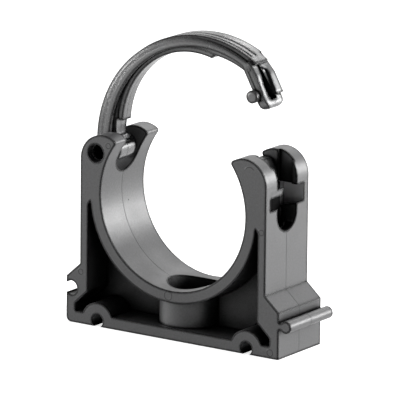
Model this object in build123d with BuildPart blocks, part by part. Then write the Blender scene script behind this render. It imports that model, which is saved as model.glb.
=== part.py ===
"""Snap pipe clip for a 63 mm pipe: a moulded base with a half-round saddle and a hinged strap, shown open."""
import math
import os

from build123d import *

# Base block in millimetres: X runs from the hinge to the latch, Z is up, the screw axis is at X 0, Y 0
half_depth = 13.75
foot_half_width = 46.15
foot_height = 17.2
shoulder_height = 22.5
column_half_width = 40.2
ear_centre_x = 30.7
ear_centre_z = 62.0
ear_radius = 9.5
tip_round = 1.2
foot_corner_round = 2.0

# Saddle for the pipe and the screw boss under it
bore_radius = 31.5
bore_z = 49.75
saddle_radius = 35.9
boss_radius = 12.0
boss_base = 2.0
boss_top = 17.0
counterbore_radius = 9.1
counterbore_floor = 6.5
screw_hole_radius = 4.3

# Pockets in front and behind, either side of the mid web
web_half = 1.25
plate_top = 4.4
column_inner = 36.95
foot_inner = 42.4
pocket_tip = 46.6
pocket_shoulder = 45.0
pocket_knee_low = 7.3
pocket_knee_high = 12.4

# Channels under the foot
channel_x = 32.5
channel_z = 2.1
channel_radius = 2.45
arch_radius = 6.75

# Coupling groove on the left foot and coupling rod on the right foot
groove_x = -44.2
groove_z = 12.85
groove_radius = 2.7
rod_x = 49.2
rod_z = 12.4
rod_radius = 2.2
rod_neck = 2.4

# Hinge slot and holes
hinge_x = -33.6
hinge_z = 64.5
hinge_slot_half = 6.6
hinge_slot_floor = 56.2
hinge_slot_right = -20.0
hinge_hole_radius = 3.35

# Latch slot between the ears, with a low wall left on the saddle side
latch_slot_half = 6.3
latch_slot_floor = 44.0
latch_wall_x = 34.0
latch_wall_top = 60.2
lip_radius = 34.4
lip_top = 68.2
latch_slot_left = 20.0
slot_top = 75.0
slot_right = 45.0

# Notches in the ears and the tracks that lead the latch pins down to them
notch_outer = 10.9
notch_inner_x = 31.95
notch_top = 59.6
notch_low = 50.8
notch_rise = 0.27
track_outer = 7.6
track_inner = 4.8
track_x = 37.9
track_foot = 52.8

# Tooth on the front ear beside its notch
tooth_end = -2.4
tooth_low = 57.5
tooth_thickness = 0.7
tooth_slant = 0.8

# Strap in the open position: arcs seen from the front
strap_half = 5.3
rim_centre = (5.1, 67.2)
rim_radius = 44.0
front_rim_centre = (3.92, 67.41)
front_rim_radius = 42.9
band_centre = (5.6, 68.0)
band_radius = 39.2
arc_end_angle = 58.5
bead_inner = 3.8
web_band_drop = 0.6
channel_back = 4.1
channel_front = 4.9
channel_floor_radius = 42.0
line_places = (-2.4, 0.5)
line_half = 0.25
line_depth = 0.8
pad_centre = (1.0, 73.6)
pad_radius = 30.7
pad_step = 1.9
pad_half = 2.7
pad_span = ((1.0, 73.6), (-31.2, 75.2), (-39.6, 97.2), (-29.6, 117.2), (10.7, 117.4), (10.9, 104.8), (8.7, 103))
rib_half = 3.2
after_centre = (6.5, 69.2)
after_radius = 35.7
neck_x = -32.1
neck_top = 76.0

# Hinge barrel of the strap
hub_radius = 4.7
hub_half = 4.8
hub_cut_z = 66.2
pivot_radius = 3.27
pivot_reach = 11.6
pivot_bore_radius = 2.8
pivot_bore_depth = 6.5
nub_x = -31.9
nub_z = 67.9
nub_radius = 1.15
nub_start = 1.0
nub_reach = 4.4

# Latch tongue: straight, measured along (t) and across (n) its own direction
tongue_angle = math.radians(-61.1)
tongue_half = 5.2
tongue_inner = 70.4
tongue_shoulder = 74.0
tongue_outer = 75.3
rim_outer = 74.0
leg_bend = 74.5
leg_inner = -1.0
tongue_start = -79.0
tongue_bend = -72.7
plate_end = -64.9
tongue_low = -62.6
tongue_tip = -60.75
tip_corner = 3.0
groove_floor = 72.2
groove_top = ((-77.2, -1.6), (-73.7, 0.0), (-68.6, 0.5), (-66.9, 0.9), (-64.9, 0.9))
groove_bottom = ((-64.3, 2.0), (-63.6, 1.6), (-63.4, -1.6), (-64.4, -2.8), (-69.3, -3.0))
ledge_floor = 74.2
ledge_outline = ((-75.8, -1.1), (-74.4, 1.9), (-72.8, 1.8), (-65.3, 0.9), (-68.6, 0.2), (-73.7, -0.3))
recess_inner = 71.7
recess_outer = 73.3
recess_depth = 0.25
recess_start = -77.0
recess_end = -64.2
bead_end_outline = ((-81.0, 73.0), (-77.0, 74.3), (-73.5, 75.1), (-73.5, 77.0), (-81.0, 77.0))
latch_pin_n = 70.4
latch_pin_t = -66.9
latch_pin_radius = 2.3
latch_pin_start = 4.9
latch_pin_reach = 7.3

# How far joined solids reach into each other, and cutting outlines past what they cut
overlap = 1.0

os.makedirs("parts", exist_ok=True)


def front_plane(y):
    """Plane seen from the front at depth y, with X to the right and Z up; it extrudes towards the front."""
    return Plane(origin=(0, y, 0), x_dir=(1, 0, 0), z_dir=(0, -1, 0))


def side_plane(x):
    """Plane seen from the right at x, with Y to the right and Z up; it extrudes to the right."""
    return Plane(origin=(x, 0, 0), x_dir=(0, 1, 0), z_dir=(1, 0, 0))


def on_tongue(t, n):
    """Front view point of the latch tongue, t along it and n across it."""
    return (
        t * math.cos(tongue_angle) - n * math.sin(tongue_angle),
        t * math.sin(tongue_angle) + n * math.cos(tongue_angle),
    )


def tongue_plane(n):
    """Plane along the latch tongue at the height n, with t to the right and Y up; it extrudes outwards."""
    along = (math.cos(tongue_angle), 0, math.sin(tongue_angle))
    across = (-math.sin(tongue_angle), 0, math.cos(tongue_angle))
    origin = tuple(n * c for c in across)
    return Plane(origin=origin, x_dir=along, z_dir=across)


def arc_span(bottom):
    """Front view outline round the strap's arc, from the height bottom on the left to the latch tongue."""
    far = 2 * rim_radius
    angle = math.radians(arc_end_angle)
    return (
        (rim_centre[0], bottom),
        (rim_centre[0] + far * math.cos(angle), rim_centre[1] + far * math.sin(angle)),
        (rim_centre[0], rim_centre[1] + far),
        (rim_centre[0] - far, rim_centre[1] + far),
        (rim_centre[0] - far, bottom),
    )


# Base: outer block with the ends of both lugs rounded
with BuildPart() as base:
    with BuildSketch(front_plane(0)):
        Polygon(
            (-foot_half_width, 0),
            (foot_half_width, 0),
            (foot_half_width, foot_height),
            (column_half_width, shoulder_height),
            (column_half_width, ear_centre_z),
            (-column_half_width, ear_centre_z),
            (-column_half_width, shoulder_height),
            (-foot_half_width, foot_height),
            align=None,
        )
        with Locations((-ear_centre_x, ear_centre_z), (ear_centre_x, ear_centre_z)):
            Circle(ear_radius)
        with Locations((0, bore_z)):
            Circle(bore_radius, mode=Mode.SUBTRACT)
    extrude(amount=half_depth, both=True)
    fillet(base.edges().filter_by(Axis.Y).group_by(Axis.Z)[-1], tip_round)
    fillet(base.edges().filter_by(Axis.Y).group_by(Axis.Z)[0].sort_by(Axis.X)[0], foot_corner_round)

    # Pockets from both faces down to the mid web
    with BuildSketch(front_plane(half_depth), front_plane(-web_half)) as pockets:
        for side in (-1, 1):
            Polygon(
                (side * foot_inner, plate_top),
                (0, plate_top),
                (0, pocket_tip),
                (side * saddle_radius, pocket_tip),
                (side * column_inner, pocket_shoulder),
                (side * column_inner, pocket_knee_high),
                (side * foot_inner, pocket_knee_low),
                align=None,
            )
        with Locations((0, bore_z)):
            Circle(saddle_radius, mode=Mode.SUBTRACT)
        with Locations((-channel_x, channel_z), (channel_x, channel_z)):
            Circle(arch_radius, mode=Mode.SUBTRACT)
    extrude(amount=half_depth - web_half, mode=Mode.SUBTRACT)

    # Screw boss from the plate up to the saddle, with its counterbore and screw hole
    with BuildSketch(Plane.XY.offset(boss_base)):
        Circle(boss_radius)
    extrude(amount=boss_top - boss_base)
    with BuildSketch(Plane.XY.offset(counterbore_floor)):
        Circle(counterbore_radius)
    extrude(amount=bore_z, mode=Mode.SUBTRACT)
    with BuildSketch(Plane.XY):
        Circle(screw_hole_radius)
    extrude(amount=bore_z, mode=Mode.SUBTRACT)

    # Coupling rod on its neck, along the right foot
    with BuildSketch(front_plane(0)):
        with Locations((rod_x, rod_z)):
            Circle(rod_radius)
        Polygon(
            (foot_half_width - overlap, rod_z - rod_neck / 2),
            (rod_x, rod_z - rod_neck / 2),
            (rod_x, rod_z + rod_neck / 2),
            (foot_half_width - overlap, rod_z + rod_neck / 2),
            align=None,
        )
    extrude(amount=half_depth, both=True)

    # Channels under the foot, coupling groove in the left foot and hinge holes, all running front to back
    with BuildSketch(front_plane(0)):
        with Locations((-channel_x, channel_z), (channel_x, channel_z)):
            Circle(channel_radius)
        with Locations((groove_x, groove_z)):
            Circle(groove_radius)
        with Locations((hinge_x, hinge_z)):
            Circle(hinge_hole_radius)
    extrude(amount=half_depth, both=True, mode=Mode.SUBTRACT)

    # Hinge slot: open at the top, the left and into the bore, round at its floor
    with BuildSketch(side_plane(-slot_right)):
        with Locations((0, hinge_slot_floor + hinge_slot_half)):
            Circle(hinge_slot_half)
        Polygon(
            (-hinge_slot_half, hinge_slot_floor + hinge_slot_half),
            (hinge_slot_half, hinge_slot_floor + hinge_slot_half),
            (hinge_slot_half, slot_top),
            (-hinge_slot_half, slot_top),
            align=None,
        )
    extrude(amount=slot_right + hinge_slot_right, mode=Mode.SUBTRACT)

    # Latch slot from the right face to the wall, and above the wall to a thin curved lip along the bore
    with BuildSketch(side_plane(latch_wall_x)):
        with Locations((0, latch_slot_floor + latch_slot_half)):
            Circle(latch_slot_half)
        Polygon(
            (-latch_slot_half, latch_slot_floor + latch_slot_half),
            (latch_slot_half, latch_slot_floor + latch_slot_half),
            (latch_slot_half, slot_top),
            (-latch_slot_half, slot_top),
            align=None,
        )
    extrude(amount=slot_right - latch_wall_x, mode=Mode.SUBTRACT)
    with BuildSketch(front_plane(0)):
        Polygon(
            (latch_slot_left, latch_wall_top),
            (latch_wall_x, latch_wall_top),
            (latch_wall_x, lip_top),
            (latch_slot_left, lip_top),
            align=None,
        )
        with Locations((0, bore_z)):
            Circle(lip_radius, mode=Mode.SUBTRACT)
        Polygon(
            (latch_slot_left, lip_top),
            (latch_wall_x, lip_top),
            (latch_wall_x, slot_top),
            (latch_slot_left, slot_top),
            align=None,
        )
    extrude(amount=latch_slot_half, both=True, mode=Mode.SUBTRACT)

    # Slits either side of the wall, open into the bore
    with BuildSketch(side_plane(latch_slot_left)):
        for side in (-1, 1):
            Polygon(
                (side * track_inner, notch_low),
                (side * latch_slot_half, notch_low),
                (side * latch_slot_half, latch_wall_top),
                (side * track_inner, latch_wall_top),
                align=None,
            )
    extrude(amount=latch_wall_x - latch_slot_left, mode=Mode.SUBTRACT)

    # Notches in both ears, with a floor that rises to a lip at the right face
    with BuildSketch(front_plane(-track_inner), front_plane(notch_outer)):
        Polygon(
            (notch_inner_x, notch_low),
            (slot_right, notch_low + (slot_right - notch_inner_x) * notch_rise),
            (slot_right, notch_top),
            (notch_inner_x, notch_top),
            align=None,
        )
    extrude(amount=notch_outer - track_inner, mode=Mode.SUBTRACT)

    # Tracks in the inner faces of the ears, from the top down to the notches
    with BuildSketch(front_plane(-track_inner), front_plane(track_outer)):
        Polygon(
            (notch_inner_x, track_foot),
            (track_x, track_foot),
            (track_x, slot_top),
            (notch_inner_x, slot_top),
            align=None,
        )
    extrude(amount=track_outer - track_inner, mode=Mode.SUBTRACT)

    # Tooth that reaches from the front ear into the slot, level with the right face
    with BuildSketch(side_plane(column_half_width)):
        Polygon(
            (-notch_outer - overlap, tooth_low),
            (tooth_end - tooth_slant, tooth_low),
            (tooth_end, latch_wall_top),
            (-notch_outer - overlap, latch_wall_top),
            align=None,
        )
    extrude(amount=-tooth_thickness)

base.part.label = "base"
export_step(base.part, "parts/base.step")


# Strap: front bead, which gets lower towards the latch
with BuildPart() as strap:
    with BuildSketch(front_plane(-bead_inner)):
        with Locations(front_rim_centre):
            Circle(front_rim_radius)
        with Locations(band_centre):
            Circle(band_radius, mode=Mode.SUBTRACT)
        Polygon(*arc_span(hinge_z), align=None, mode=Mode.INTERSECT)
    extrude(amount=strap_half - bead_inner)

    # Rear bead
    with BuildSketch(front_plane(strap_half)):
        with Locations(rim_centre):
            Circle(rim_radius)
        with Locations(band_centre):
            Circle(band_radius, mode=Mode.SUBTRACT)
        Polygon(*arc_span(hinge_z), align=None, mode=Mode.INTERSECT)
    extrude(amount=strap_half - bead_inner)

    # Web between the beads, level with the rear one outside
    with BuildSketch(front_plane(bead_inner + overlap)):
        with Locations(rim_centre):
            Circle(rim_radius)
        with Locations(band_centre):
            Circle(band_radius + web_band_drop, mode=Mode.SUBTRACT)
        Polygon(*arc_span(hinge_z), align=None, mode=Mode.INTERSECT)
    extrude(amount=bead_inner + overlap + channel_back)

    # Narrow channel between the web and the front bead
    with BuildSketch(front_plane(-channel_back)):
        with Locations(rim_centre):
            Circle(rim_radius + overlap)
            Circle(channel_floor_radius, mode=Mode.SUBTRACT)
        Polygon(*arc_span(hinge_z), align=None, mode=Mode.INTERSECT)
    extrude(amount=channel_front - channel_back, mode=Mode.SUBTRACT)

    # Middle rib inside, with the raised pad that lies on the pipe
    with BuildSketch(front_plane(0)):
        with Locations(rim_centre):
            Circle(channel_floor_radius)
        with Locations(pad_centre):
            Circle(pad_radius + pad_step, mode=Mode.SUBTRACT)
        with Locations(after_centre):
            Circle(after_radius, mode=Mode.SUBTRACT)
        Polygon(*arc_span(hinge_z), align=None, mode=Mode.INTERSECT)
        Polygon(
            (neck_x, hinge_z),
            (pad_centre[0], hinge_z),
            (pad_centre[0], neck_top),
            (neck_x, neck_top),
            align=None,
            mode=Mode.SUBTRACT,
        )
    extrude(amount=rib_half, both=True)
    with BuildSketch(front_plane(0)):
        with Locations(pad_centre):
            Circle(pad_radius + pad_step + overlap)
            Circle(pad_radius, mode=Mode.SUBTRACT)
        Polygon(*pad_span, align=None, mode=Mode.INTERSECT)
    extrude(amount=pad_half, both=True)

    # Two fine lines sunk along the outside
    with BuildSketch(*[front_plane(place + line_half) for place in line_places]):
        with Locations(rim_centre):
            Circle(rim_radius + overlap)
            Circle(rim_radius - line_depth, mode=Mode.SUBTRACT)
        Polygon(*arc_span(neck_top), align=None, mode=Mode.INTERSECT)
    extrude(amount=2 * line_half, mode=Mode.SUBTRACT)

    # Hinge barrel, cut away beside the neck, where a nub stands
    with BuildSketch(front_plane(0)):
        with Locations((hinge_x, hinge_z)):
            Circle(hub_radius)
        Polygon(
            (neck_x, hub_cut_z),
            (hinge_x + hub_radius, hub_cut_z),
            (hinge_x + hub_radius, neck_top),
            (neck_x, neck_top),
            align=None,
            mode=Mode.SUBTRACT,
        )
    extrude(amount=hub_half, both=True)
    with BuildSketch(front_plane(nub_reach)):
        with Locations((nub_x, nub_z)):
            Circle(nub_radius)
    extrude(amount=nub_reach + nub_start)

    # Pivots in the hinge holes, hollow at their ends
    with BuildSketch(front_plane(0)):
        with Locations((hinge_x, hinge_z)):
            Circle(pivot_radius)
    extrude(amount=pivot_reach, both=True)
    with BuildSketch(front_plane(-pivot_reach + pivot_bore_depth), front_plane(pivot_reach)):
        with Locations((hinge_x, hinge_z)):
            Circle(pivot_bore_radius)
    extrude(amount=pivot_bore_depth, mode=Mode.SUBTRACT)

    # Latch tongue with a round tip, and a raised plate on its outer face
    tip_radius = (rim_outer - tongue_inner) / 2
    with BuildSketch(front_plane(0)):
        Polygon(
            on_tongue(tongue_start, tongue_inner),
            on_tongue(tongue_start, tongue_shoulder),
            on_tongue(tongue_bend, tongue_outer),
            on_tongue(plate_end, tongue_outer),
            on_tongue(plate_end, rim_outer),
            on_tongue(tongue_low, rim_outer),
            on_tongue(tongue_low, tongue_inner),
            align=None,
        )
        with Locations(on_tongue(tongue_low, rim_outer - tip_radius)):
            Circle(tip_radius)
    extrude(amount=tongue_half, both=True)

    # Round corners of the tip, seen from outside
    with BuildSketch(tongue_plane(tongue_outer)):
        for side in (-1, 1):
            with Locations((tongue_tip, side * tongue_half)):
                Rectangle(2 * tip_corner, 2 * tip_corner)
        for side in (-1, 1):
            with Locations((tongue_tip - tip_corner, side * (tongue_half - tip_corner))):
                Circle(tip_corner, mode=Mode.SUBTRACT)
    extrude(amount=tongue_inner - tongue_outer, mode=Mode.SUBTRACT)

    # Front leg of the tongue's rim, lower than the plate behind it
    with BuildSketch(front_plane(leg_inner)):
        Polygon(
            on_tongue(tongue_start, tongue_shoulder),
            on_tongue(tongue_bend, leg_bend),
            on_tongue(plate_end, rim_outer),
            on_tongue(plate_end, tongue_outer),
            on_tongue(tongue_bend, tongue_outer),
            align=None,
        )
    extrude(amount=tongue_half, mode=Mode.SUBTRACT)

    # Deep groove along the tongue's outer face, and the ledge beside it
    with BuildSketch(tongue_plane(groove_floor)):
        Polygon(*groove_top, *groove_bottom, align=None)
    extrude(amount=tongue_outer - groove_floor, mode=Mode.SUBTRACT)
    with BuildSketch(tongue_plane(ledge_floor)):
        Polygon(*ledge_outline, align=None)
    extrude(amount=tongue_outer - ledge_floor, mode=Mode.SUBTRACT)

    # Shallow recess along the tongue's front side
    with BuildSketch(front_plane(recess_depth - tongue_half)):
        Polygon(
            on_tongue(recess_start, recess_inner),
            on_tongue(recess_end, recess_inner),
            on_tongue(recess_end, recess_outer),
            on_tongue(recess_start, recess_outer),
            align=None,
        )
    extrude(amount=recess_depth, mode=Mode.SUBTRACT)

    # Lower end of the rear bead
    with BuildSketch(front_plane(strap_half)):
        Polygon(*[on_tongue(*corner) for corner in bead_end_outline], align=None)
    extrude(amount=strap_half - bead_inner, mode=Mode.SUBTRACT)

    # Latch pins on both sides
    with BuildSketch(front_plane(-latch_pin_start), front_plane(latch_pin_reach)):
        with Locations(on_tongue(latch_pin_t, latch_pin_n)):
            Circle(latch_pin_radius)
    extrude(amount=latch_pin_reach - latch_pin_start)

strap.part.label = "strap"
export_step(strap.part, "parts/strap.step")
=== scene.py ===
"""Studio view of the pipe clip: satin black plastic on a white floor, seen from the front right."""
import math

import bpy
from mathutils import Matrix, Vector

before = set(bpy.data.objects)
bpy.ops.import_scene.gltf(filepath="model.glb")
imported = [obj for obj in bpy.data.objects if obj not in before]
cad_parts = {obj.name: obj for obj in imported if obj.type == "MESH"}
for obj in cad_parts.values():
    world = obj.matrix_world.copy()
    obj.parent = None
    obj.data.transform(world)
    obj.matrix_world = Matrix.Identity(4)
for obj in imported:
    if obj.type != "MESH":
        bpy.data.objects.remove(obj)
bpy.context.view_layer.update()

WHITE = (1, 1, 1, 1)

# Camera of the photograph, in metres and degrees, with the lens and the sensor in millimetres
TARGET = Vector((0.0, 0.0, 0.045))
CAMERA_AZIMUTH = 34.077
CAMERA_ELEVATION = 13.869
CAMERA_ROLL = 0.576
CAMERA_DISTANCE = 2.169
CAMERA_LENS = 541.6
CAMERA_SENSOR = 36.0
CAMERA_SHIFT = (0.01593, 0.0292)
CAMERA_REACH = 50.0

# Lamps: azimuth to the object's right and elevation in degrees, width and height in metres, power in watts
LAMP_DISTANCE = 1.3
LAMP_CLEARANCE = 0.06
LAMPS = {
    "key": (125, 3, 0.5, 0.5, 26.0),
    "key_side": (105, 3, 0.5, 0.5, 3.0),
    "key_back": (145, 3, 0.5, 0.5, 5.5),
    "left": (-75, 3, 0.5, 0.5, 18.0),
    "left_front": (-50, 3, 0.5, 0.5, 4.0),
    "rim": (-165, 3, 0.5, 0.5, 0.6),
    "rim_high": (-135, 28, 0.5, 0.5, 0.7),
    "strip_back": (188, 34, 0.9, 0.12, 2.2),
}

# The world's even light, and the floor's own glow, its grey and its half width in metres
WORLD_LEVEL = 0.02
FLOOR_GLOW = 0.75
FLOOR_BOUNCE = 0.85
FLOOR_HALF = 4.0

# Plastics: colour, roughness, specular level, index of refraction, and grain depth and edge radius in metres
BASE_PLASTIC = ((0.085, 0.085, 0.087), 0.40, 0.62, 1.5, 0.00003, 0.0008)
STRAP_PLASTIC = ((0.075, 0.075, 0.077), 0.24, 1.0, 1.6, 0.000012, 0.0020)

# Grain: its size in metres, the scale of the broad mottling, and how far they change colour and roughness
NOISE_SPAN = (0.3, 0.7)
GRAIN = 0.0006
GRAIN_DETAIL = 3.0
GRAIN_ROUGHNESS = 0.6
GRAIN_TINT = (0.82, 1.18)
MOTTLING_SCALE = 120.0
MOTTLING_DETAIL = 4.0
MOTTLING_ROUGHNESS = (-0.05, 0.07)

# Parting line and round marks: half widths, the full-strength part of them, height in metres, and darkening
PARTING_HALF = 0.00022
RING_HALF = 0.00024
LINE_CORE = 0.4
LINE_HEIGHT = 0.00005
LINE_DARKENING = 0.5

# Round marks on the front faces: centre x and z, radius, and the height above which they show, in metres
FRONT_FACE = -0.0136
FRONT_MARKS = [
    (0.03836, 0.04561, 0.0010, 0.0),
    (-0.04004, 0.01947, 0.0010, 0.0),
    (-0.02822, 0.06796, 0.0010, 0.0),
    (0.03298, 0.06660, 0.0022, 0.0679),
    (-0.00146, 0.01634, 0.0016, 0.0),
    (0.04265, 0.00211, 0.0012, 0.0),
]

# Painted shade in hollows: how far they reach in metres, how open a place is, and how much of its colour and
# gloss it keeps
HOLLOW_SAMPLES = 8
HOLLOW_REACH = 0.02
HOLLOW_SPAN = (0.35, 0.85)
HOLLOW_LEVELS = (0.05, 1.0)
GLOSS_SPAN = (0.05, 0.7)
HOLLOW_GLOSS = 0.05

# Edges: a painted highlight line beside them and a painted shade line on them, as levels by how far the
# softened surface turns
EDGE_RADIUS = 0.0017
PAINTED_EDGE_LEVELS = [(0.001, 0.78), (0.006, 1.0), (0.018, 0.9), (0.045, 0.05)]
BEVEL_SAMPLES = 6

# Painted shade of a small pit in the bore: place and radius in metres, and how deep its shade is
PIT, PIT_RADIUS, PIT_SHADE = (-0.03102, 0.0035, 0.04428), 0.00035, 0.92

# Painted shade in the latch slot with the front notch, and in the gap above them: spans in metres and how
# deep it is
SHADED = [
    ((0.0318, 0.0394), (-0.0112, 0.0047), (0.0440, 0.0612), 0.92),
    ((0.0318, 0.0345), (-0.0064, 0.0064), (0.0600, 0.0640), 0.5),
]

# Painted light on walls of the rear latch notch, lighter than its depth: x, y and z spans in metres and
# their level
PAINTED_NOTCH_LIGHT = [
    ((0.0319, 0.0400), (0.0107, 0.0111), (0.0505, 0.0597), 6.5),
    ((0.0318, 0.0321), (0.0048, 0.0108), (0.0505, 0.0597), 2.2),
]


def view_direction(azimuth, elevation):
    """Unit vector from the target to a camera at that azimuth to the object's right, and that elevation."""
    a, e = math.radians(azimuth), math.radians(elevation)
    return Vector((math.cos(e) * math.sin(a), -math.cos(e) * math.cos(a), math.sin(e)))


def add_camera():
    """Camera at the photograph's viewing angle."""
    back = view_direction(CAMERA_AZIMUTH, CAMERA_ELEVATION)
    right = Vector((0, 0, 1)).cross(back).normalized()
    up = back.cross(right)
    roll = math.radians(CAMERA_ROLL)
    level = right * math.cos(roll) + up * math.sin(roll)
    rise = up * math.cos(roll) - right * math.sin(roll)
    data = bpy.data.cameras.new("camera")
    data.lens = CAMERA_LENS
    data.sensor_width = CAMERA_SENSOR
    data.shift_x, data.shift_y = CAMERA_SHIFT
    data.clip_end = CAMERA_REACH
    camera = bpy.data.objects.new("camera", data)
    turn = Matrix((level, rise, back)).transposed().to_4x4()
    camera.matrix_world = Matrix.Translation(TARGET + back * CAMERA_DISTANCE) @ turn
    bpy.context.scene.collection.objects.link(camera)
    bpy.context.scene.camera = camera


def add_lamp(name, azimuth, elevation, width, height, power):
    """Soft lamp that points at the target, kept clear of the floor."""
    data = bpy.data.lights.new(name, "AREA")
    data.shape = "RECTANGLE"
    data.size, data.size_y = width, height
    data.energy = power
    lamp = bpy.data.objects.new(name, data)
    place = TARGET + view_direction(azimuth, elevation) * LAMP_DISTANCE
    place.z = max(place.z, height / 2 + LAMP_CLEARANCE)
    lamp.location = place
    lamp.rotation_euler = (TARGET - place).to_track_quat("-Z", "Y").to_euler()
    bpy.context.scene.collection.objects.link(lamp)


def math_node(tree, operation, a, b=None):
    """Output of one arithmetic step on sockets or numbers."""
    step = tree.nodes.new("ShaderNodeMath")
    step.operation = operation
    for place, value in enumerate((a, b)):
        if isinstance(value, (int, float)):
            step.inputs[place].default_value = value
        elif value is not None:
            tree.links.new(value, step.inputs[place])
    return step.outputs[0]


def spread(tree, value, span, levels, interpolation="LINEAR"):
    """Output of a value whose span is laid onto two levels."""
    reach = tree.nodes.new("ShaderNodeMapRange")
    reach.interpolation_type = interpolation
    reach.inputs["From Min"].default_value, reach.inputs["From Max"].default_value = span
    reach.inputs["To Min"].default_value, reach.inputs["To Max"].default_value = levels
    tree.links.new(value, reach.inputs["Value"])
    return reach.outputs["Result"]


def background(tree, strength):
    """Plain white light of the world."""
    light = tree.nodes.new("ShaderNodeBackground")
    light.inputs["Color"].default_value = WHITE
    light.inputs["Strength"].default_value = strength
    return light.outputs[0]


def seen_rays(tree):
    """One for rays that show the surroundings: seen directly, in a gloss or through something clear."""
    path = tree.nodes.new("ShaderNodeLightPath").outputs
    seen = math_node(tree, "MAXIMUM", path["Is Camera Ray"], path["Is Glossy Ray"])
    return math_node(tree, "MAXIMUM", seen, path["Is Transmission Ray"])


def add_world():
    """Faint even light, and white where the camera or a gloss shows what lies past the floor."""
    world = bpy.data.worlds.new("world")
    bpy.context.scene.world = world
    world.use_nodes = True
    tree = world.node_tree
    tree.nodes.clear()
    mix = tree.nodes.new("ShaderNodeMixShader")
    out = tree.nodes.new("ShaderNodeOutputWorld")
    tree.links.new(seen_rays(tree), mix.inputs["Fac"])
    tree.links.new(background(tree, WORLD_LEVEL), mix.inputs[1])
    tree.links.new(background(tree, 1.0), mix.inputs[2])
    tree.links.new(mix.outputs[0], out.inputs["Surface"])


def floor_material():
    """White paper that keeps the part's soft shadow."""
    material = bpy.data.materials.new("floor_white")
    material.use_nodes = True
    tree = material.node_tree
    tree.nodes.clear()
    paper = tree.nodes.new("ShaderNodeBsdfDiffuse")
    paper.inputs["Color"].default_value = (FLOOR_BOUNCE, FLOOR_BOUNCE, FLOOR_BOUNCE, 1)
    glow = tree.nodes.new("ShaderNodeEmission")
    glow.inputs["Color"].default_value = WHITE
    tree.links.new(math_node(tree, "MULTIPLY", seen_rays(tree), FLOOR_GLOW), glow.inputs["Strength"])
    add = tree.nodes.new("ShaderNodeAddShader")
    out = tree.nodes.new("ShaderNodeOutputMaterial")
    tree.links.new(paper.outputs[0], add.inputs[0])
    tree.links.new(glow.outputs[0], add.inputs[1])
    tree.links.new(add.outputs[0], out.inputs["Surface"])
    return material


def add_floor():
    """Plain floor under the foot."""
    mesh = bpy.data.meshes.new("floor")
    corners = [
        (-FLOOR_HALF, -FLOOR_HALF, 0),
        (FLOOR_HALF, -FLOOR_HALF, 0),
        (FLOOR_HALF, FLOOR_HALF, 0),
        (-FLOOR_HALF, FLOOR_HALF, 0),
    ]
    mesh.from_pydata(corners, [], [(0, 1, 2, 3)])
    floor = bpy.data.objects.new("floor", mesh)
    bpy.context.scene.collection.objects.link(floor)
    mesh.materials.append(floor_material())


def soft_line(tree, distance, half_width):
    """One on a line and zero beyond it, from a distance to the line and the line's half width in metres."""
    return spread(tree, distance, (LINE_CORE * half_width, half_width), (1.0, 0.0), "SMOOTHSTEP")


def inside_box(tree, place, spans):
    """One inside the box of the three spans, and zero outside."""
    inside = 1.0
    for socket, (low, high) in zip(place, spans):
        above = math_node(tree, "GREATER_THAN", socket, low)
        below = math_node(tree, "LESS_THAN", socket, high)
        inside = math_node(tree, "MULTIPLY", inside, math_node(tree, "MULTIPLY", above, below))
    return inside


def noise(tree, vector, scale, detail, roughness=0.5):
    """Output of an even noise over the object."""
    grain = tree.nodes.new("ShaderNodeTexNoise")
    grain.inputs["Scale"].default_value = scale
    grain.inputs["Detail"].default_value = detail
    grain.inputs["Roughness"].default_value = roughness
    tree.links.new(vector, grain.inputs["Vector"])
    return grain.outputs["Fac"]


def bevelled_normal(tree, radius):
    """Output of the surface's direction with its edges softened to a radius."""
    bevel = tree.nodes.new("ShaderNodeBevel")
    bevel.samples = BEVEL_SAMPLES
    bevel.inputs["Radius"].default_value = radius
    return bevel.outputs["Normal"]


def bumped_normal(tree, height, depth, normal):
    """Output of a surface direction bent by a height of that depth in metres."""
    bump = tree.nodes.new("ShaderNodeBump")
    bump.inputs["Strength"].default_value = 1.0
    bump.inputs["Distance"].default_value = depth
    tree.links.new(height, bump.inputs["Height"])
    tree.links.new(normal, bump.inputs["Normal"])
    return bump.outputs["Normal"]


def moulding_lines(tree, place, marks):
    """One on the parting line at mid depth and on the round marks in front, and zero elsewhere."""
    x, y, z = place
    lines = soft_line(tree, math_node(tree, "ABSOLUTE", y), PARTING_HALF)
    for mark_x, mark_z, radius, low in marks:
        across = math_node(tree, "POWER", math_node(tree, "SUBTRACT", x, mark_x), 2)
        along = math_node(tree, "POWER", math_node(tree, "SUBTRACT", z, mark_z), 2)
        from_centre = math_node(tree, "SQRT", math_node(tree, "ADD", across, along))
        from_ring = math_node(tree, "ABSOLUTE", math_node(tree, "SUBTRACT", from_centre, radius))
        in_front = math_node(tree, "LESS_THAN", y, FRONT_FACE)
        shown = math_node(tree, "MULTIPLY", in_front, math_node(tree, "GREATER_THAN", z, low))
        ring = math_node(tree, "MULTIPLY", soft_line(tree, from_ring, RING_HALF), shown)
        lines = math_node(tree, "MAXIMUM", lines, ring)
    return lines


def hollow_painted_shade(tree):
    """Level of the painted shade: low in hollows and one on open faces."""
    hollow = tree.nodes.new("ShaderNodeAmbientOcclusion")
    hollow.samples = HOLLOW_SAMPLES
    hollow.only_local = True
    hollow.inputs["Distance"].default_value = HOLLOW_REACH
    return spread(tree, hollow.outputs["AO"], HOLLOW_SPAN, HOLLOW_LEVELS)


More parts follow.
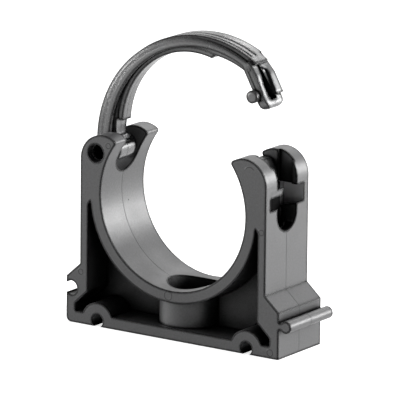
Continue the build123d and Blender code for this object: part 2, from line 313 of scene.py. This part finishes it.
def painted_edge_light_and_shade(tree):
    """Level of the faces and of the painted highlight and shade lines along their edges."""
    surface = tree.nodes.new("ShaderNodeNewGeometry")
    turn = tree.nodes.new("ShaderNodeVectorMath")
    turn.operation = "DOT_PRODUCT"
    tree.links.new(bevelled_normal(tree, EDGE_RADIUS), turn.inputs[0])
    tree.links.new(surface.outputs["Normal"], turn.inputs[1])
    painted_edge_lines = tree.nodes.new("ShaderNodeValToRGB")
    stops = painted_edge_lines.color_ramp.elements
    for position, _ in PAINTED_EDGE_LEVELS[1:-1]:
        stops.new(position)
    stops[0].position, stops[-1].position = PAINTED_EDGE_LEVELS[0][0], PAINTED_EDGE_LEVELS[-1][0]
    for stop, (_, level) in zip(stops, PAINTED_EDGE_LEVELS):
        stop.color = (level, level, level, 1)
    tree.links.new(math_node(tree, "SUBTRACT", 1.0, turn.outputs["Value"]), painted_edge_lines.inputs["Fac"])
    return painted_edge_lines.outputs["Color"]


def unlit_level(tree, vector, place):
    """Low where shade is painted, in the pit and in the shaded depths of the latch, and one elsewhere."""
    from_pit = tree.nodes.new("ShaderNodeVectorMath")
    from_pit.operation = "DISTANCE"
    from_pit.inputs[1].default_value = PIT
    tree.links.new(vector, from_pit.inputs[0])
    painted_depth_shade = math_node(tree, "MULTIPLY", soft_line(tree, from_pit.outputs["Value"], PIT_RADIUS), PIT_SHADE)
    for *spans, depth in SHADED:
        shaded = math_node(tree, "MULTIPLY", inside_box(tree, place, spans), depth)
        painted_depth_shade = math_node(tree, "MAXIMUM", painted_depth_shade, shaded)
    return math_node(tree, "SUBTRACT", 1.0, painted_depth_shade)


def plastic(name, colour, roughness, shine, ior, grain_depth, round_edge, marks, painted_light_boxes):
    """Moulded black plastic with a fine grain, soft edges and moulding lines, painted shade in hollows, in a
    pit and in the latch, painted highlight and shade lines along its edges, and painted light in the boxes
    it is given.
    """
    material = bpy.data.materials.new(name)
    material.use_nodes = True
    tree = material.node_tree
    shader = tree.nodes["Principled BSDF"]
    shader.inputs["IOR"].default_value = ior
    shader.inputs["Base Color"].default_value = (*colour, 1)
    shader.inputs["Roughness"].default_value = roughness
    shader.inputs["Specular IOR Level"].default_value = shine

    vector = tree.nodes.new("ShaderNodeTexCoord").outputs["Object"]
    split = tree.nodes.new("ShaderNodeSeparateXYZ")
    tree.links.new(vector, split.inputs[0])
    place = tuple(split.outputs)
    grain = noise(tree, vector, 1.0 / GRAIN, GRAIN_DETAIL, GRAIN_ROUGHNESS)
    mottling = noise(tree, vector, MOTTLING_SCALE, MOTTLING_DETAIL)
    lines = moulding_lines(tree, place, marks)
    hollow_shade_level = hollow_painted_shade(tree)

    # Moulding lines, painted highlight and shade lines along edges, and painted shade in the pit and the
    # latch
    lines_and_painted_light = math_node(tree, "ADD", math_node(tree, "MULTIPLY", lines, -LINE_DARKENING), 1.0)
    lines_and_painted_light = math_node(tree, "MULTIPLY", lines_and_painted_light, painted_edge_light_and_shade(tree))
    lines_and_painted_light = math_node(tree, "MULTIPLY", lines_and_painted_light, unlit_level(tree, vector, place))
    shade = math_node(tree, "MULTIPLY", spread(tree, grain, NOISE_SPAN, GRAIN_TINT), hollow_shade_level)
    shade = math_node(tree, "MULTIPLY", shade, lines_and_painted_light)
    # Painted light in the boxes given, such as the rear latch notch walls
    for *spans, painted_light_level in painted_light_boxes:
        painted_light_patch = math_node(tree, "MULTIPLY", inside_box(tree, place, spans), painted_light_level)
        shade = math_node(tree, "MAXIMUM", shade, painted_light_patch)
    base_colour = tree.nodes.new("ShaderNodeVectorMath")
    base_colour.operation = "SCALE"
    base_colour.inputs[0].default_value = colour
    tree.links.new(shade, base_colour.inputs["Scale"])
    tree.links.new(base_colour.outputs[0], shader.inputs["Base Color"])

    # Gloss with painted shade in hollows, and with the painted edge lines and latch shade of the colour
    gloss = spread(tree, hollow_shade_level, GLOSS_SPAN, (HOLLOW_GLOSS, shine))
    tree.links.new(math_node(tree, "MULTIPLY", gloss, lines_and_painted_light), shader.inputs["Specular IOR Level"])
    smoother, rougher = MOTTLING_ROUGHNESS
    rough = spread(tree, mottling, NOISE_SPAN, (roughness + smoother, roughness + rougher))
    tree.links.new(rough, shader.inputs["Roughness"])

    raised = bumped_normal(tree, lines, LINE_HEIGHT, bevelled_normal(tree, round_edge))
    tree.links.new(bumped_normal(tree, grain, grain_depth, raised), shader.inputs["Normal"])
    return material


def dress(node, material):
    """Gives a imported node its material."""
    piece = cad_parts[node]
    piece.data.materials.clear()
    piece.data.materials.append(material)


add_camera()
for lamp_name, lamp in LAMPS.items():
    add_lamp(lamp_name, *lamp)
add_world()
add_floor()
dress("base", plastic("base_plastic", *BASE_PLASTIC, FRONT_MARKS, PAINTED_NOTCH_LIGHT))
dress("strap", plastic("strap_plastic", *STRAP_PLASTIC, [], []))

scene = bpy.context.scene
scene.view_settings.view_transform = "Standard"
